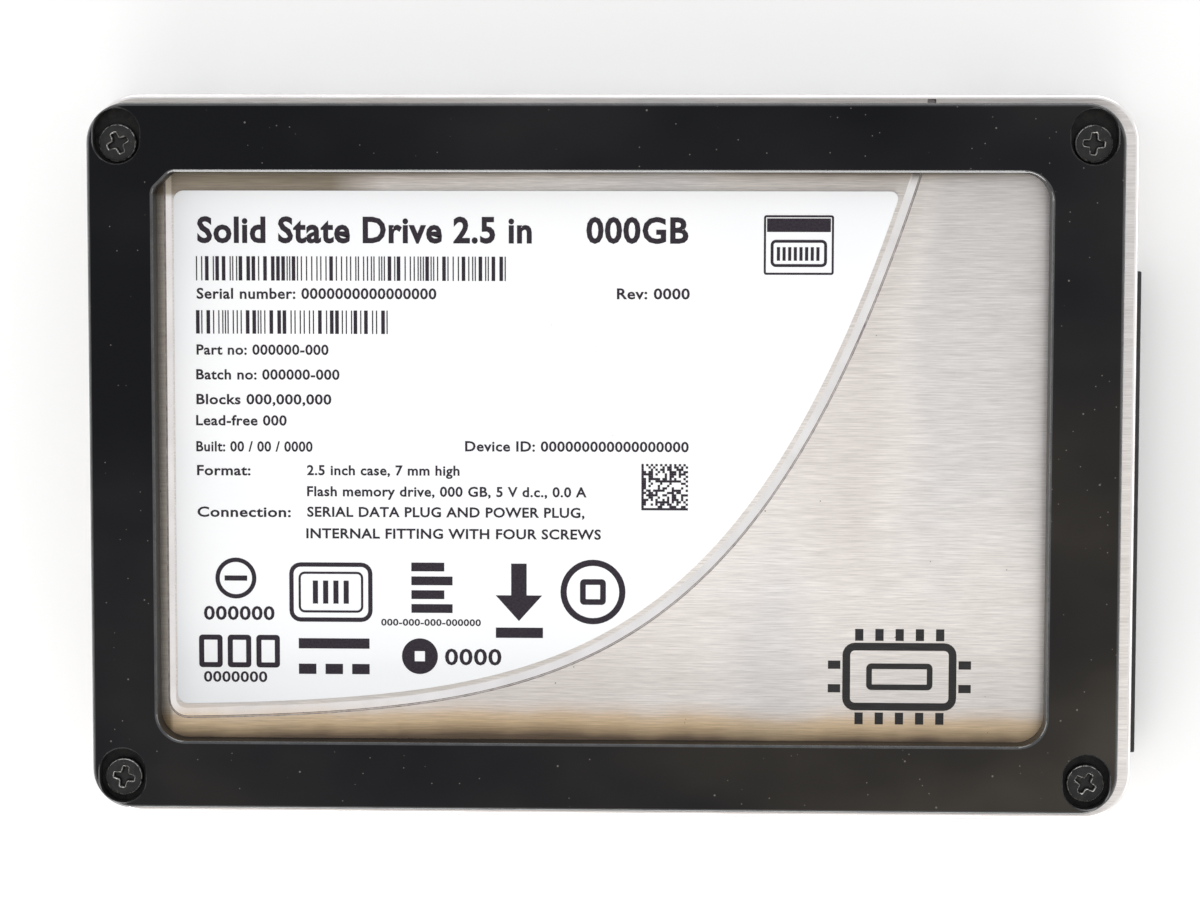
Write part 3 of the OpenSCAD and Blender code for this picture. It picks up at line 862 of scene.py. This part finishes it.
def cover():
    """The cover: a plate with a rounded rim and a sunken panel that slopes down to its floor."""
    even_panel = panel_outline(PANEL_LEFT, PANEL_TOP, 0, PANEL_CORNER)

    def panel(inset):
        """The panel's outline, whose slope is narrower along its straight left edge."""
        pull = (PANEL_SLOPE - PANEL_SLOPE_LEFT) * inset / PANEL_SLOPE
        return [(x - pull * min(1, max(0, 1 - (x - PANEL_LEFT) / SLOPE_BLEND)), y)
                for x, y in even_panel(inset)]

    slot = rounded_rectangle(SLOT_AT, SLOT_SIZE[0], SLOT_SIZE[1], SLOT_CORNER, steps=3)
    slope = [(inset, COVER_TOP - drop) for inset, drop in (
        (0, 0), (GROOVE_W * 0.7, GROOVE_DEPTH), (GROOVE_W * 1.3, GROOVE_DEPTH), (GROOVE_W * 2, GROOVE_RISE),
        (PANEL_SLOPE - 0.12, PANEL_DEPTH * 0.93), (PANEL_SLOPE - 0.04, PANEL_DEPTH * 0.985),
        (PANEL_SLOPE, PANEL_DEPTH))]
    shell = Shell()
    rim, foot = shell.wall(case_plan(0), round_over(RIM_ROUND, COVER_TOP, steps=5)
                           + round_under(SEAM_ROUND, SEAM_Z, steps=2))
    edge, floor = shell.wall(panel, slope)
    slot_rim, slot_floor = shell.wall(slot, [(0, COVER_TOP), (0, COVER_TOP - SLOT_SIZE[2])])
    holes = [shell.wall(circle(spot, THREAD_R + SCREW_GAP, 32), [(0, COVER_TOP), (0, SEAM_Z)])
             for spot in SCREW_SPOTS]
    shell.close(rim, edge, slot_rim, *(upper for upper, lower in holes))
    shell.close(foot, *(lower for upper, lower in holes))
    shell.close(floor)
    shell.close(slot_floor)
    plate = shell.solid("cover_plate")
    combine(plate, cover_lip(), "UNION")
    combine(plate, bevelled_box("platform", *PLATFORM, 0.1), "UNION")
    finish(plate, [brushed_aluminium(), smooth_aluminium(), groove_shade_aluminium()],
           ("top_cover",))
    rings = [panel(inset) for inset in (-0.01, 2 * GROOVE_W + 0.01)]
    for face in plate.data.polygons:
        x, y, z = face.center / MM
        flat = face.normal.z > 0.999
        sunk = COVER_TOP - SLOT_SIZE[2] - 0.01 < z < COVER_TOP - 0.001
        groove = sunk and inside(rings[0], x, y) and not inside(rings[1], x, y)
        in_slot = sunk and inside(slot(-0.01), x, y)
        # Index 2 is painted shade: darker metal in the groove round the panel and inside the slot
        face.material_index = 2 if groove or in_slot else 0 if flat else 1


def inside(points, x, y):
    """True if a point lies inside a closed polygon."""
    crossings = 0
    for number, (x1, y1) in enumerate(points):
        x0, y0 = points[number - 1]
        if (y0 > y) != (y1 > y) and x < x0 + (y - y0) * (x1 - x0) / (y1 - y0):
            crossings += 1
    return crossings % 2 == 1


def cover_lip():
    """The rim under the cover that drops inside the tray's walls."""
    gap, width, height = 0.15, 1.0, 0.8
    outer = case_plan(WALL + gap)
    shell = Shell()
    profile = [(0, SEAM_Z + 0.3), (0, SEAM_Z - height)]
    outer_top, outer_foot = shell.wall(outer, profile)
    inner_top, inner_foot = shell.wall(outer, [(width, z) for inset, z in profile])
    shell.close(outer_top, inner_top)
    shell.close(outer_foot, inner_foot)
    lip = shell.solid("lip")
    for spot in SCREW_SPOTS:
        combine(lip, turned("room", spot, [(CORNER_POST_R + gap, HUGE), (CORNER_POST_R + gap, 0)]))
    side_gap = 0.2
    low = (PLUG_BACK, PLUG_SIDES[0] - side_gap, 0)
    high = (HUGE, PLUG_SIDES[1] + side_gap, HUGE)
    return combine(lip, bevelled_box("room", low, high))


# ---- the spacer and screws

def spacer():
    """The spacer frame: rounded rim, bevelled window and stretched counterbores."""
    outer = rounded_rectangle((SPACER_X, 0), SPACER_L, SPACER_W, SPACER_R)
    left, right, half = WINDOW_LEFT, WINDOW_RIGHT, WINDOW_HALF
    corners = [(left, -half), (right, -half), (right, half),
               (left + WINDOW_KEY, half), (left, half - WINDOW_KEY)]
    radii = {0: WINDOW_R, 1: WINDOW_R, 2: WINDOW_R, 3: 1.0, 4: 1.0}
    window = polygon(round_corners(corners, radii, steps=10))
    shell = Shell()
    rim, foot = shell.wall(outer, round_over(SPACER_ROUND, SPACER_TOP, steps=5)
                           + round_under(0.12, SPACER_LOW.z, steps=2))
    bevel_foot = SPACER_TOP - WINDOW_BEVEL_DROP
    sill, base = shell.wall(window, [(-WINDOW_BEVEL - 0.03, SPACER_TOP), (-WINDOW_BEVEL, SPACER_TOP - 0.01),
                                     (0, bevel_foot), (0.012, bevel_foot - 0.03), (0.012, SPACER_LOW.z)])
    shell.close(rim, sill)
    shell.close(foot, base)
    ring = shell.solid("spacer_ring")
    width = 2 * COUNTERBORE_R
    profile = [(-0.4, SPACER_TOP + 0.3), (-0.1, SPACER_TOP), (0, SPACER_TOP - 0.12), (0, HEAD_SEAT)]
    for x, y in SCREW_SPOTS:
        centre = (x, math.copysign(COUNTERBORE_Y, y))
        bore = rounded_rectangle(centre, width, width + COUNTERBORE_STRETCH, COUNTERBORE_R, steps=16)
        combine(ring, column("pocket", bore, profile))
        combine(ring, turned("hole", (x, y), [(CLEARANCE_R, HUGE), (CLEARANCE_R, 0)]))
    finish(ring, [satin_black_plastic(), handled_edge(), lightened_pocket()],
           ("spacer_frame",))
    for face in ring.data.polygons:
        x, y, z = face.center / MM
        tilted = 0.05 < face.normal.z < 0.995
        at = min(SCREW_X, key=lambda screw: abs(x - screw))
        reach = Vector((at - x, math.copysign(COUNTERBORE_Y, y) - y))
        faces_in = reach.dot(face.normal.xy) > -0.01
        sunk = HEAD_SEAT - 0.01 < z < SPACER_TOP - 0.2
        pocket = sunk and faces_in and reach.length < POCKET_REACH
        # Index 2 is painted lighter, to make up for the shade in the counterbores
        face.material_index = 2 if pocket else 1 if tilted and z > SPACER_TOP - SPACER_ROUND else 0


def cross_outline():
    """outline(inset) of a cross recess whose inner corners are flared."""
    flare = RECESS_HALF * RECESS_FLARE
    arm = [(RECESS_REACH, -RECESS_HALF), (RECESS_REACH, RECESS_HALF), (flare, flare)]
    points = []
    for quarter in range(4):
        turn = Matrix.Rotation(quarter * math.pi / 2, 2)
        points += [tuple(turn @ Vector(point)) for point in arm]
    radii = {n: 0.2 if n % 3 == 2 else 0.1 for n in range(len(points))}
    return polygon(round_corners(points, radii, steps=3))


def corner_screw(place):
    """One pan-head screw with its recess, thread and pointed end."""
    top = HEAD_H
    profile = [(0.05, top - 0.02)]
    profile += [(HEAD_R - inset, z) for inset, z in round_over(HEAD_ROUND, top, steps=4)]
    profile += [(HEAD_R, 0.05), (HEAD_R - 0.05, 0), (THREAD_R, 0)]
    length = HEAD_SEAT - SCREW_LOW.z
    depth = THREAD_START
    while depth + THREAD_PITCH < length - SCREW_TIP:
        profile += [(THREAD_R, -depth), (THREAD_R - THREAD_DEPTH, -depth - THREAD_PITCH / 2)]
        depth += THREAD_PITCH
    profile += [(THREAD_R, -depth), (THREAD_R * 0.6, -length)]
    screw = turned("screw", (0, 0), profile, steps=56)
    walls = [(-0.14, top + 0.04), (-0.1, top), (-0.03, top - 0.06), (0.02, top - 0.16),
             (0.11, top - RECESS_DEPTH)]
    combine(screw, column("recess", cross_outline(), walls))
    for face in screw.data.polygons:
        face.material_index = 0
    screw.data.transform(place)
    return screw


def screws():
    """The four corner screws, each left at its own angle, worn and painted with a highlight on their upper
    edges.
    """
    made = []
    for (x, y), turn in zip(SCREW_SPOTS, SCREW_TURNS):
        place = Matrix.Translation((x, y, HEAD_SEAT)) @ Matrix.Rotation(math.radians(turn), 4, "Z")
        made.append(corner_screw(place))
    group = merge("case_screws", made)
    finish(group, [blackened_steel(), worn_highlit_steel()], ("corner_screws",))
    # Worn faces painted bright, partly as a highlight: slanted upper faces at the recess and the head's rim
    highlight_above = SCREW_HIGH.z - WEAR_HIGHLIGHT_DROP
    for face in group.data.polygons:
        x, y, z = face.center / MM
        nearest = min(math.hypot(x - at[0], y - at[1]) for at in SCREW_SPOTS)
        slanted = face.normal.z < 0.97
        at_recess = nearest < RECESS_REACH + RECESS_WEAR_HIGHLIGHT
        at_edge = nearest > HEAD_R - HEAD_ROUND
        worn_highlit = slanted and z > highlight_above and (at_recess or at_edge)
        face.material_index = 1 if worn_highlit else 0


# ---- the label and its print

def label():
    """The paper label, whose curved edge keeps a margin from the panel's."""
    outline = panel_outline(LABEL_LOW.x, LABEL_HIGH.y, LABEL_MARGIN, LABEL_CORNER)
    soft = 0.02
    sheet = column("label_sheet", outline,
                   [(soft, LABEL_HIGH.z), (0, LABEL_HIGH.z - soft), (0, LABEL_LOW.z)])
    finish(sheet, [coated_paper()], ("product_label",))


class Print:
    """Thin shapes of ink on a flat face at height z."""

    def __init__(self, z):
        self.z = z - INK_SINK
        self.thickness = INK_SINK + INK_PROUD
        self.shell = Shell()

    def shape(self, *outlines):
        """A thin plate inside the first outline, with the others as its holes."""
        profile = [(0, self.z + self.thickness), (0, self.z)]
        rings = [self.shell.wall(outline, profile) for outline in outlines]
        self.shell.close(*(first for first, last in rings))
        self.shell.close(*(last for first, last in rings))

    def bar(self, left, bottom, right, top):
        self.shape(polygon([(left, bottom), (right, bottom), (right, top), (left, top)]))

    def ring(self, centre, radius, width):
        self.shape(circle(centre, radius, 40), circle(centre, radius - width, 40))

    def frame(self, centre, size, radius, width):
        outer = rounded_rectangle(centre, *size, radius, steps=5)
        inner = rounded_rectangle(centre, size[0] - 2 * width, size[1] - 2 * width,
                                  max(radius - width, 0.05), steps=5)
        self.shape(outer, inner)

    def text(self, words, left, bottom, cap, width, weight):
        """Words whose capitals have the height cap, filling a width and standing on bottom."""
        curve = bpy.data.curves.new("words", "FONT")
        curve.body = words
        curve.offset = weight
        curve.extrude = 0.5
        curve.resolution_u = 3
        curve.space_character = LETTER_SPACE
        obj = in_scene("words", curve)
        mesh = evaluated_mesh(obj)
        drop(obj)
        xs = [v.co.x for v in mesh.vertices]
        across = width / (max(xs) - min(xs))
        up = cap / CAP_SHARE
        place = (Matrix.Translation((left - min(xs) * across, bottom, self.z + self.thickness / 2))
                 @ Matrix.Diagonal((across, up, self.thickness, 1)))
        glyphs = bmesh.new()
        glyphs.from_mesh(mesh)
        bmesh.ops.remove_doubles(glyphs, verts=glyphs.verts, dist=SAME_POINT)
        glyphs.transform(place)
        glyphs.to_mesh(mesh)
        glyphs.free()
        self.shell.bm.from_mesh(mesh)
        bpy.data.meshes.remove(mesh)

    def barcode(self, left, bottom, right, top, seed):
        """Narrow and wide bars and gaps, three to one, that fill a width."""
        pick = random.Random(seed)
        target = right - left
        widths = []
        while sum(widths) * BAR_NARROW < target:
            widths += [pick.choice((1, 1, 3)), pick.choice((1, 2, 3))]
        unit = target / sum(widths[:-1])
        x = left
        for number, width in enumerate(widths):
            if number % 2 == 0:
                self.bar(x, bottom, x + width * unit * BAR_SHARE, top)
            x += width * unit

    def square_code(self, left, bottom, size, cells, seed):
        """A square code: two solid sides, two dotted sides and a scattered middle."""
        pick = random.Random(seed)
        unit = size / cells
        for row in range(cells):
            on = []
            for column in range(cells):
                edge = column == 0 or row == 0
                far_row = row == cells - 1
                far_column = column == cells - 1
                dotted = (far_row and column % 2 == 0) or (far_column and row % 2 == 0)
                middle = not (edge or far_row or far_column) and pick.random() < 0.5
                on.append(edge or dotted or middle)
            column = 0
            while column < cells:
                end = column
                while end < cells and on[end]:
                    end += 1
                if end > column:
                    y = bottom + row * unit
                    self.bar(left + column * unit, y, left + end * unit, y + unit * CELL_SHARE)
                column = end + 1

    def piece(self, name, material):
        return finish(self.shell.solid(name), [material], smooth=False)


# Words on the label: text, left, bottom, capital height, width
LABEL_LINES = (
    ("Serial number: 0000000000000000", -38.1, 15.3, 1.05, 23.2),
    ("Rev: 0000", 2.5, 15.35, 1.05, 7.0),
    ("Part no: 000000-000", -38.15, 9.9, 1.0, 12.8),
    ("Batch no: 000000-000", -38.2, 7.5, 1.0, 13.9),
    ("Blocks 000,000,000", -38.2, 5.1, 1.0, 13.1),
    ("Lead-free 000", -38.25, 3.05, 1.0, 8.8),
    ("Built: 00 / 00 / 0000", -38.25, 0.52, 1.0, 11.3),
    ("Device ID: 000000000000000000", -12.15, 0.62, 1.0, 21.6),
    ("Format:", -38.2, -1.8, 1.0, 5.2),
    ("2.5 inch case, 7 mm high", -27.5, -1.75, 0.98, 14.8),
    ("Flash memory drive, 000 GB, 5 V d.c., 0.0 A", -27.5, -3.8, 0.98, 27.1),
    ("Connection:", -38.2, -5.85, 1.0, 9.1),
    ("SERIAL DATA PLUG AND POWER PLUG,", -27.5, -5.8, 0.98, 26.9),
    ("INTERNAL FITTING WITH FOUR SCREWS", -27.6, -7.9, 0.98, 28.6),
    ("000000", -37.65, -15.9, 1.35, 6.9),
    ("000-000-000-000000", -20.35, -16.4, 0.66, 9.7),
    ("0000000", -37.7, -22.0, 1.05, 6.2),
)


def label_print():
    """Everything printed on the label: heading, codes, lines of text and plain pictograms."""
    ink = Print(LABEL_HIGH.z)
    ink.text("Solid State Drive 2.5 in", -38.0, 20.75, 2.5, 32.3, weight=0.03)
    ink.text("000GB", -0.45, 20.75, 2.5, 9.8, weight=0.027)
    for words, left, bottom, cap, width in LABEL_LINES:
        ink.text(words, left, bottom, cap, width, weight=0.022)
    ink.barcode(-38.14, 17.04, -8.19, 19.38, seed=11)
    ink.barcode(-38.18, 11.91, -19.6, 14.17, seed=29)
    ink.square_code(4.9, -5.05, 4.5, 20, seed=5)
    plug_pictogram(ink, (19.93, 20.55))
    first_row(ink)
    second_row(ink)
    ink.piece("label_print", print_ink())


def plug_pictogram(ink, centre):
    """A framed plug seen end on, under a solid band."""
    x, y = centre
    ink.frame(centre, (6.7, 5.7), 0.25, 0.2)
    ink.bar(x - 3.05, y + 1.25, x + 3.05, y + 2.55)
    ink.frame((x, y - 0.8), (5.4, 2.6), 0.5, 0.28)
    for i in range(8):
        left = x - 2.1 + i * 0.54
        ink.bar(left, y - 1.5, left + 0.3, y - 0.2)


def first_row(ink):
    """The upper row of pictograms."""
    ink.ring((-34.5, -11.85), 2.0, 0.42)
    ink.bar(-35.6, -12.1, -33.4, -11.6)
    ink.frame((-25.24, -13.18), (8.1, 5.8), 1.1, 0.42)
    ink.frame((-25.24, -13.18), (6.3, 4.0), 0.6, 0.22)
    for i in range(4):
        left = -27.0 + i * 1.0
        ink.bar(left, -14.3, left + 0.5, -12.05)
    for i in range(4):
        ink.bar(-17.4, -15.15 + i * 1.35, -13.4 - 0.8 * (i % 2), -14.3 + i * 1.35)
    ink.shape(polygon([(-6.95, -15.9), (-4.7, -13.4), (-6.2, -13.4), (-6.2, -10.3),
                       (-7.7, -10.3), (-7.7, -13.4), (-9.2, -13.4)]))
    ink.bar(-9.19, -17.55, -4.62, -16.55)
    ink.ring((0.23, -13.03), 3.15, 0.6)
    ink.frame((0.23, -13.03), (2.5, 2.5), 0.4, 0.55)


def second_row(ink):
    """The lower row of pictograms."""
    for i in range(3):
        ink.frame((-37.0 + i * 2.8, -19.0), (2.3, 3.2), 0.35, 0.5)
    ink.bar(-28.4, -18.7, -21.5, -17.7)
    for i in range(3):
        ink.bar(-28.4 + i * 2.6, -21.2, -26.7 + i * 2.6, -20.2)
    square = polygon([(-17.1, -19.9), (-16.1, -19.9), (-16.1, -18.9), (-17.1, -18.9)])
    ink.shape(circle((-16.59, -19.4), 1.75, 40), square)
    ink.text("0000", -14.15, -20.2, 1.6, 5.5, weight=0.02)


def emblem():
    """A plain memory-chip mark on the bare metal."""
    ink = Print(COVER_TOP)
    x, y = 29.9, -21.1
    ink.frame((x, y), (11.0, 6.6), 1.2, 0.75)
    ink.frame((x, y), (6.4, 2.6), 0.5, 0.55)
    for i in range(5):
        left = x - 4.3 + i * 1.95
        for low in (y + 3.5, y - 4.65):
            ink.bar(left, low, left + 0.8, low + 1.15)
    for i in range(2):
        low = y - 1.55 + i * 2.3
        for left in (x + 5.7, x - 6.9):
            ink.bar(left, low, left + 1.2, low + 0.8)
    ink.piece("cover_emblem", emblem_ink())


# ---- the plug

def plug():
    """The plug: a thin sleeve round two tongues, their key legs and two guide arms."""
    low, high = PLUG_LOW, PLUG_HIGH
    sleeve_t, back_t, clear = 0.45, 1.8, 5
    tongue_z, tongue_t, edge = 3.5, 1.23, 1.55
    leg_w, leg_h, bite = 1.05, 1.18, 0.01
    guide_w, guide_z, guide_top = 2, 2.1, 5.3
    guide_from_low, guide_from_high = 2.335, 3.535
    tip = CASE_HIGH.x + 0.3
    body = bevelled_box("plug_shell", low, high, 0.14)
    hollow = bevelled_box("hollow", (low.x + back_t, low.y + sleeve_t, low.z + sleeve_t),
                          (high.x + clear, high.y - sleeve_t, high.z - sleeve_t), 0.1)
    combine(body, hollow)
    tongues = []
    for contacts in ("sata_signal_contacts", "sata_power_contacts"):
        first, last = node_box(contacts)
        tongues.append((first.y - edge, last.y + edge))
    for y0, y1 in tongues:
        tongue = bevelled_box("tongue", (low.x + 0.5, y0, tongue_z), (tip, y1, tongue_z + tongue_t), 0.16, 3)
        combine(body, tongue, "UNION")
    signal, power = tongues
    for y0 in (signal[0] + bite, power[1] - leg_w - bite):
        leg = bevelled_box("leg", (low.x + 0.6, y0, tongue_z - leg_h),
                           (tip - bite, y0 + leg_w, tongue_z + 0.5), 0.12, 3)
        combine(body, leg, "UNION")
    for y0 in (low.y + guide_from_low, high.y - guide_from_high):
        guide = bevelled_box("guide", (low.x + 0.55, y0, guide_z),
                             (tip - 0.3, y0 + guide_w, guide_top), 0.25, 3)
        combine(body, guide, "UNION")
    black = moulded("plug_black", (0.010, 0.010, 0.011), (0.022, 0.022, 0.024), 7, 0.012, (0.35, 0.5))
    finish(body, [black], ("sata_housing",))


# ---- materials of the CAD nodes

def dress(material, *nodes):
    """Puts a material on CAD nodes that keep their own shape."""
    for name in nodes:
        obj = frame["nodes"][name]
        if not obj.material_slots:
            obj.data.materials.append(material)
        for slot in obj.material_slots:
            slot.material = material


def inner_parts():
    """Materials of the board, its parts, the contacts and the pads."""
    dress(solder_mask(), "circuit_board")
    dress(plated("nickel_screw", (0.55, 0.54, 0.52), (0.68, 0.67, 0.65), 1.5), "board_screws")
    dress(plated("gold_contact", (0.78, 0.55, 0.22), (0.90, 0.68, 0.32), 1.2, (0.15, 0.3)),
          "sata_signal_contacts", "sata_power_contacts")
    dress(plated("tin_plate", (0.62, 0.62, 0.61), (0.76, 0.76, 0.75), 1.0), "connector_hold_downs",
          "crystal_oscillator")
    dress(moulded("chip_black", (0.016, 0.016, 0.017), (0.034, 0.034, 0.036), 5, 0.015),
          "controller_chip", "cache_memory_chip", "flash_chips_upper", "flash_chips_lower",
          "voltage_regulators", "surge_diode")
    dress(moulded("pad_blue", (0.34, 0.42, 0.48), (0.44, 0.52, 0.58), 2.5, 0.03, (0.6, 0.8)),
          "controller_thermal_pad", "flash_pads_upper", "flash_pads_lower")
    dress(moulded("capacitor_amber", (0.46, 0.28, 0.03), (0.66, 0.45, 0.10), 3, 0.012), "bulk_capacitors")
    dress(moulded("ceramic_tan", (0.40, 0.29, 0.19), (0.56, 0.43, 0.30), 4, 0.01), "ceramic_capacitors")
    dress(moulded("resistor_slate", (0.03, 0.034, 0.04), (0.06, 0.066, 0.072), 5, 0.01, (0.25, 0.4)),
          "resistors")
    dress(moulded("ferrite_grey", (0.10, 0.10, 0.11), (0.18, 0.18, 0.19), 4, 0.03), "power_inductors")
    dress(moulded("fuse_white", (0.72, 0.70, 0.66), (0.86, 0.85, 0.81), 4, 0.01), "input_fuse")


# ---- floor, light and camera

CAMERA_AT = (10.037, 23.394, 300.0)
CAMERA_TURN = (-0.0769, 0.0313, 0.0016)
LENS = 91.43
FLOOR_SIZE = 6000
WARM_SIDE = (1.0, 0.985, 0.965)
COOL_SIDE = (0.955, 0.975, 1.0)
# Soft lights standing round the object, in metres and watts: name, place, size, power
SOFT_LIGHTS = (
    ("left_light", (-0.9, 0.1, 0.14), (0.9, 0.3), 3.4),
    ("right_light", (0.9, -0.1, 0.14), (0.9, 0.3), 1.8),
    ("back_light", (0.1, 0.9, 0.14), (1.1, 0.3), 3.6),
    ("front_light", (-0.1, -0.9, 0.16), (1.2, 0.34), 10.5),
)


def stage():
    """The pale floor."""
    floor_surface = Surface("pale_floor", Roughness=0.7, Base_Color=(0.86, 0.855, 0.85))
    plan = rounded_rectangle((0, 0), FLOOR_SIZE, FLOOR_SIZE, 100, steps=4)
    floor = column("floor", plan, [(0, -0.02), (0, -5)])
    floor.data.transform(Matrix.Scale(MM, 4))
    floor.data.materials.append(floor_surface.material)


def area_light(name, at, size, power):
    """A soft light turned to the origin."""
    data = bpy.data.lights.new(name, "AREA")
    data.shape = "RECTANGLE"
    data.size, data.size_y = size
    data.energy = power
    obj = in_scene(name, data)
    obj.location = at
    obj.rotation_euler = (-Vector(at)).to_track_quat("-Z", "Y").to_euler()


def lighting():
    """An even world, warmer at -Y and cooler at +Y, and four soft lights."""
    world = bpy.data.worlds.new("studio")
    world.use_nodes = True
    nodes = world.node_tree.nodes
    link = world.node_tree.links.new
    place = nodes.new("ShaderNodeTexCoord")
    split = nodes.new("ShaderNodeSeparateXYZ")
    share = nodes.new("ShaderNodeMapRange")
    share.inputs["From Min"].default_value = -0.5
    share.inputs["From Max"].default_value = 0.5
    blend = nodes.new("ShaderNodeMix")
    blend.data_type = "RGBA"
    blend.inputs[6].default_value = (*WARM_SIDE, 1)
    blend.inputs[7].default_value = (*COOL_SIDE, 1)
    link(place.outputs["Generated"], split.inputs["Vector"])
    link(split.outputs["Y"], share.inputs["Value"])
    link(share.outputs["Result"], blend.inputs[0])
    link(blend.outputs[2], nodes["Background"].inputs["Color"])
    bpy.context.scene.world = world
    for name, at, size, power in SOFT_LIGHTS:
        area_light(name, at, size, power)


def camera():
    """The camera, looking down on the drive from above."""
    data = bpy.data.cameras.new("camera")
    data.sensor_width = 36
    data.lens = LENS
    data.clip_start = 0.01
    obj = in_scene("camera", data)
    obj.location = [value * MM for value in CAMERA_AT]
    obj.rotation_euler = CAMERA_TURN
    bpy.context.scene.camera = obj
    bpy.context.scene.view_settings.view_transform = "Standard"


stage()
lighting()
camera()
tray()
cover()
spacer()
screws()
label()
label_print()
emblem()
plug()
inner_parts()
